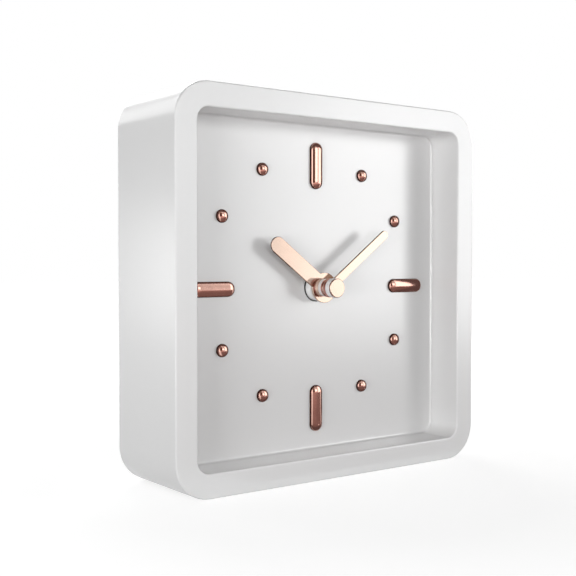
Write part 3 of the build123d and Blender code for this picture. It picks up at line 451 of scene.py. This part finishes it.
def hubFinish(name, look):
    finish, nodes, links, shader, where = startFinish(name, look)
    collarFoot = boxOf("hour_collar")[1].y
    capFace = boxOf("hand_cap")[0].y
    place = addNode(nodes, "ShaderNodeSeparateXYZ", (-1200, 200))
    along = addNode(nodes, "ShaderNodeMapRange", (-1000, 200),
                    {"From Min": collarFoot, "From Max": capFace, "To Min": 0.0, "To Max": 1.0})
    tone = addNode(nodes, "ShaderNodeValToRGB", (-700, 300))
    ramp = tone.color_ramp
    # painted reflection: deeper tone on the sides and a dark band before the face
    ramp.elements[0].color = shade(look["side"], 1)
    ramp.elements[1].color = shade(look["face"], 1)
    for share, key in zip(look["darkBandShares"], ("side", "edge", "edge", "face")):
        ramp.elements.new(share).color = shade(look[key], 1)
    gloss = addNode(nodes, "ShaderNodeMapRange", (-700, 0),
                    {"From Min": look["darkBandShares"][2], "From Max": look["darkBandShares"][3],
                     "To Min": look["sideRoughness"], "To Max": look["faceRoughness"]})
    rings = addNode(nodes, "ShaderNodeTexNoise", (-700, -300), noise_dimensions="1D")
    rings.inputs["Scale"].default_value = look["ringScale"]
    links.new(where, place.inputs[0])
    links.new(place.outputs["Y"], along.inputs["Value"])
    links.new(along.outputs["Result"], tone.inputs["Fac"])
    links.new(along.outputs["Result"], gloss.inputs["Value"])
    links.new(place.outputs["Y"], rings.inputs["W"])
    links.new(tone.outputs["Color"], shader.inputs["Base Color"])
    links.new(gloss.outputs["Result"], shader.inputs["Roughness"])
    linkRelief(nodes, links, shader, rings.outputs["Fac"], look["ringStrength"], look["ringDepth"])
    return finish


# copper wire in close turns along the coil
windingSet = {"colour": (0.62, 0.26, 0.12), "metal": 1.0, "mottle": 0.3, "roughness": 0.36,
              "roughSpread": 0.04, "turnScale": 800, "turnStrength": 0.6, "turnDepth": 0.0001,
              "waver": 0.4, "waverDetail": 1.0}


def windingFinish(name, look):
    finish, nodes, links, shader, where = startFinish(name, look)
    turns = addNode(nodes, "ShaderNodeTexWave", (-800, 0),
                    {"Scale": look["turnScale"], "Distortion": look["waver"],
                     "Detail": look["waverDetail"]}, bands_direction="X")
    links.new(where, turns.inputs["Vector"])
    linkTone(nodes, links, shader, look, turns.outputs["Fac"])
    linkGloss(nodes, links, shader, look, turns.outputs["Fac"])
    linkRelief(nodes, links, shader, turns.outputs["Fac"], look["turnStrength"], look["turnDepth"])
    return finish


# green board with paler conductor tracks under the lacquer
boardSet = {"colour": (0.015, 0.13, 0.05), "track": (0.05, 0.27, 0.10), "roughness": 0.34,
            "roughSpread": 0.03, "trackScale": 260, "trackWidth": 0.14, "trackBlur": 0.2,
            "trackStrength": 0.4, "trackDepth": 0.00005, "darkShare": 0.9, "paleShare": 1.1}


def boardFinish(name, look):
    finish, nodes, links, shader, where = startFinish(name, look)
    upright = addNode(nodes, "ShaderNodeMapping", (-1000, 0), {"Rotation": (math.radians(90), 0, 0)})
    tracks = addNode(nodes, "ShaderNodeTexBrick", (-800, 0),
                     {"Scale": look["trackScale"], "Mortar Size": look["trackWidth"],
                      "Mortar Smooth": look["trackBlur"], "Mortar": shade(look["track"], 1),
                      "Color1": shade(look["colour"], look["darkShare"]),
                      "Color2": shade(look["colour"], look["paleShare"])})
    links.new(where, upright.inputs["Vector"])
    links.new(upright.outputs["Vector"], tracks.inputs["Vector"])
    links.new(tracks.outputs["Color"], shader.inputs["Base Color"])
    linkGloss(nodes, links, shader, look, tracks.outputs["Fac"])
    linkRelief(nodes, links, shader, tracks.outputs["Fac"], look["trackStrength"], look["trackDepth"])
    return finish


# plain shrink sleeve of the cell: slate body, silver band at the positive end
wrapSet = {"body": (0.045, 0.07, 0.10), "band": (0.55, 0.57, 0.58), "bandShares": (0.80, 0.81, 0.93, 0.94),
           "roughness": 0.21, "roughSpread": 0.03, "creaseScale": 220, "creaseDetail": 3.0,
           "creaseStrength": 0.08, "creaseDepth": 0.00006, "darkShare": 0.9, "paleShare": 1.1}


def wrapFinish(name, look):
    finish, nodes, links, shader, where = startFinish(name, look)
    low, high = boxOf("cell_sleeve")
    place = addNode(nodes, "ShaderNodeSeparateXYZ", (-1200, 200))
    along = addNode(nodes, "ShaderNodeMapRange", (-1000, 200),
                    {"From Min": low.x, "From Max": high.x, "To Min": 0.0, "To Max": 1.0})
    tone = addNode(nodes, "ShaderNodeValToRGB", (-700, 300))
    ramp = tone.color_ramp
    ramp.elements[0].color = shade(look["body"], look["darkShare"])
    ramp.elements[1].color = shade(look["body"], look["paleShare"])
    for share, key in zip(look["bandShares"], ("body", "band", "band", "body")):
        ramp.elements.new(share).color = shade(look[key], 1)
    crease = addNode(nodes, "ShaderNodeTexNoise", (-800, -300),
                     {"Scale": look["creaseScale"], "Detail": look["creaseDetail"]})
    links.new(where, place.inputs[0])
    links.new(place.outputs["X"], along.inputs["Value"])
    links.new(along.outputs["Result"], tone.inputs["Fac"])
    links.new(tone.outputs["Color"], shader.inputs["Base Color"])
    links.new(where, crease.inputs["Vector"])
    linkGloss(nodes, links, shader, look, crease.outputs["Fac"])
    linkRelief(nodes, links, shader, crease.outputs["Fac"], look["creaseStrength"], look["creaseDepth"])
    return finish


finishes["copper_winding"] = windingFinish("copper_winding", windingSet)
finishes["board"] = boardFinish("board", boardSet)
finishes["cell_wrap"] = wrapFinish("cell_wrap", wrapSet)
turnedHub = hubFinish("turned_hub", hubSet)
hubNodes = ["hour_collar", "hand_cap"]
for subpart in frame["record"]["subparts"]:
    cadNode = frame["nodes"][subpart["node"]]
    slotFinish = finishes[subpart["material_slot"]]
    cadNode.data.materials.clear()
    cadNode.data.materials.append(turnedHub if subpart["node"] in hubNodes else slotFinish)
print("finishes set on", len(frame["nodes"]), "nodes")

# the bright lamps leave the polished rose gold to the white room and the cards
polishedSlots = ["rose_gold_marker", "rose_gold_hand"]
polishedGroup = bpy.data.collections.new("polishedMetal")
for subpart in frame["record"]["subparts"]:
    if subpart["material_slot"] in polishedSlots:
        polishedGroup.objects.link(frame["nodes"][subpart["node"]])
for linked in polishedGroup.collection_objects:
    linked.light_linking.link_state = "EXCLUDE"
for name in lightSet:
    bpy.data.objects[name].light_linking.receiver_collection = polishedGroup

# the lamp behind the bezel on the right only fills the case, so that its right side reads as white
caseGroup = bpy.data.collections.new("whiteCase")
for node in ["case_shell", "rear_cover"]:
    caseGroup.objects.link(frame["nodes"][node])
bpy.data.objects["caseRight"].light_linking.receiver_collection = caseGroup


# selects the faces of the piece in edit mode that pass a test, and no others
def pickFaces(piece, test):
    bpy.ops.mesh.select_mode(type="FACE")
    bpy.ops.mesh.select_all(action="DESELECT")
    form = bmesh.from_edit_mesh(piece.data)
    form.normal_update()
    for face in form.faces:
        if test(face):
            face.select_set(True)
    bmesh.update_edit_mesh(piece.data)


edgeSet = {"merge": mm(0.001), "segments": 2, "sharp": math.radians(40), "smooth": math.radians(30)}


# merged, turned outwards, given small round edges, and joined to its body
def finishPiece(piece, look):
    bpy.ops.mesh.select_all(action="SELECT")
    bpy.ops.mesh.remove_doubles(threshold=edgeSet["merge"])
    bpy.ops.mesh.normals_make_consistent(inside=False)
    bpy.ops.object.mode_set(mode="OBJECT")
    edge = piece.modifiers.new("edge", "BEVEL")
    edge.width = look["edge"]
    edge.segments = edgeSet["segments"]
    edge.angle_limit = edgeSet["sharp"]
    bpy.ops.object.modifier_apply(modifier="edge")
    bpy.ops.object.shade_smooth_by_angle(angle=edgeSet["smooth"])
    piece.data.materials.append(finishes[look["slot"]])
    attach(piece, look["body"])


ringSides = 96


# flat ring, open in the middle
def addRing(name, look):
    bpy.ops.object.select_all(action="DESELECT")
    bpy.ops.mesh.primitive_cylinder_add(vertices=ringSides, radius=look["outer"], depth=look["thick"],
                                        location=look["place"], rotation=look["turn"])
    ring = bpy.context.object
    ring.name = name
    bpy.ops.object.transform_apply(location=True, rotation=True, scale=True)
    bpy.ops.object.mode_set(mode="EDIT")
    pickFaces(ring, lambda face: len(face.verts) > 4)
    bpy.ops.mesh.inset(thickness=look["outer"] - look["inner"], use_individual=True)
    bpy.ops.mesh.bridge_edge_loops()
    finishPiece(ring, look)


# rubber washer round the foot of the dial nut, bright bands round the hub of each hand, and the seal at
# the positive end of the cell; the bright bands are painted reflection, near-white rings where the hub's
# sides show reflected light
nutLow, nutHigh = boxOf("dial_nut")
nutMiddle = (nutLow + nutHigh) / 2
collarLow, collarHigh = boxOf("hour_collar")
capLow, capHigh = boxOf("hand_cap")
canLow, canHigh = boxOf("cell_can")
canMiddle = (canLow + canHigh) / 2
washerThick, washerProud, washerGap = mm(0.4), mm(0.4), mm(0.01)
sealThick, nubHeight = mm(0.3), mm(1.4)
bandProud, bandDepth = mm(0.03), mm(0.08)
collarBandBack, capBandBack = mm(1.62), mm(1.85)  # from the collar's and cap's fronts to mid-band
alongX, alongY = (0, math.radians(90), 0), (math.radians(90), 0, 0)
ringSet = {
    "collarBand": {"outer": collarHigh.x + bandProud, "inner": collarHigh.x + bandProud - bandDepth,
                   "thick": mm(1.6), "place": Vector((0, collarLow.y + collarBandBack, nutMiddle.z)),
                   "turn": alongY, "edge": mm(0.02), "body": "hour_hand", "slot": "polished_chrome"},
    "capBand": {"outer": capHigh.x + bandProud, "inner": capHigh.x + bandProud - bandDepth,
                "thick": mm(2.2), "place": Vector((0, capLow.y + capBandBack, nutMiddle.z)),
                "turn": alongY, "edge": mm(0.02), "body": "minute_hand", "slot": "polished_chrome"},
    "nutWasher": {"outer": nutHigh.x + washerProud, "inner": nutHigh.x + washerGap, "thick": washerThick,
                  "place": Vector((nutMiddle.x, nutHigh.y - washerThick / 2, nutMiddle.z)),
                  "turn": alongY, "edge": mm(0.1), "body": "clock_case", "slot": "gasket_rubber"},
    "cellSeal": {"outer": mm(5.4), "inner": mm(2.65), "thick": sealThick,
                 "place": Vector((canHigh.x - nubHeight + sealThick / 2, canMiddle.y, canMiddle.z)),
                 "turn": alongX, "edge": mm(0.08), "body": "battery", "slot": "gasket_rubber"},
}
for name, look in ringSet.items():
    addRing(name, look)
print("rings made")


headSet = {"shoulder": mm(0.05), "tipShare": 0.08}  # step behind the head, share of its width at the tip


# raised arrow that curves round an axis along Y
def addTurnArrow(name, look):
    bpy.ops.object.select_all(action="DESELECT")
    centre = look["centre"]
    start = centre + Vector((look["radius"], look["height"] / 2, 0))
    bpy.ops.mesh.primitive_plane_add(size=1, location=start)
    arrow = bpy.context.object
    arrow.name = name
    arrow.scale = (look["width"], look["height"], 1)
    bpy.ops.object.transform_apply(location=True, rotation=True, scale=True)
    bpy.ops.object.mode_set(mode="EDIT")
    bpy.ops.mesh.select_mode(type="FACE")
    bpy.ops.mesh.select_all(action="SELECT")
    bpy.ops.mesh.spin(steps=look["steps"], angle=look["sweep"], center=centre, axis=(0, 1, 0))
    form = bmesh.from_edit_mesh(arrow.data)
    shaftEnd = [face for face in form.faces if face.select][0].calc_center_median()
    outwards = shaftEnd - centre
    ahead = Vector((outwards.z, 0, -outwards.x)).normalized() * (1 if look["sweep"] > 0 else -1)
    spread = look["headWidth"] / look["width"]
    shoulder = ahead * headSet["shoulder"]
    point = ahead * look["headLength"]
    tip = headSet["tipShare"]
    bpy.ops.mesh.extrude_region_move(TRANSFORM_OT_translate={"value": shoulder})
    bpy.ops.transform.resize(value=(spread, 1, spread), center_override=shaftEnd + shoulder)
    bpy.ops.mesh.extrude_region_move(TRANSFORM_OT_translate={"value": point})
    bpy.ops.transform.resize(value=(tip, 1, tip), center_override=shaftEnd + shoulder + point)
    finishPiece(arrow, look)


# moulded arrows: one on the lid round the setting knob, one in the dish of the knob
lidLow, lidHigh = boxOf("movement_lid")
knobLow, knobHigh = boxOf("setting_knob")
knobMiddle = (knobLow + knobHigh) / 2
knobDish = mm(0.6)
arrowSet = {
    "lidArrow": {"centre": Vector((knobMiddle.x, lidHigh.y, knobMiddle.z)), "radius": mm(8.2),
                 "width": mm(0.8), "height": mm(0.3), "steps": 24, "sweep": math.radians(100),
                 "headWidth": mm(2.4), "headLength": mm(2.2), "edge": mm(0.06), "body": "clock_case",
                 "slot": "black_housing"},
    "knobArrow": {"centre": Vector((knobMiddle.x, knobHigh.y - knobDish, knobMiddle.z)), "radius": mm(2.8),
                  "width": mm(0.6), "height": mm(0.35), "steps": 24, "sweep": math.radians(230),
                  "headWidth": mm(1.7), "headLength": mm(1.5), "edge": mm(0.05), "body": "setting_knob",
                  "slot": "black_knob"},
}
for name, look in arrowSet.items():
    addTurnArrow(name, look)
print("arrows made")


# raised sign: a small block with an arm drawn out of each named side
def addSign(name, look):
    bpy.ops.object.select_all(action="DESELECT")
    bpy.ops.mesh.primitive_cube_add(size=1, location=look["place"])
    sign = bpy.context.object
    sign.name = name
    sign.scale = (look["stroke"], look["height"], look["stroke"])
    bpy.ops.object.transform_apply(location=True, rotation=True, scale=True)
    bpy.ops.object.mode_set(mode="EDIT")
    for side in look["sides"]:
        root = look["place"] + Vector(side) * look["stroke"] / 2
        pickFaces(sign, lambda face: (face.calc_center_median() - root).length < look["near"])
        bpy.ops.mesh.extrude_region_move(TRANSFORM_OT_translate={"value": Vector(side) * look["arm"]})
    finishPiece(sign, look)


# polarity signs moulded on the lid above the ends of the cell
signBase = {"stroke": mm(0.9), "height": mm(0.3), "arm": mm(1.1), "near": mm(0.01), "edge": mm(0.06),
            "body": "clock_case", "slot": "black_housing"}
signOffset, signRise = mm(17), mm(3.2)  # from the middle of the lid, and above its lower edge
signFace = lidHigh.y + signBase["height"] / 2
signLevel = lidLow.z + signRise
signSet = {
    "plusSign": {"place": Vector((signOffset, signFace, signLevel)),
                 "sides": [(1, 0, 0), (-1, 0, 0), (0, 0, 1), (0, 0, -1)]},
    "minusSign": {"place": Vector((-signOffset, signFace, signLevel)), "sides": [(1, 0, 0), (-1, 0, 0)]},
}
for name, look in signSet.items():
    addSign(name, {**signBase, **look})
print("signs made")
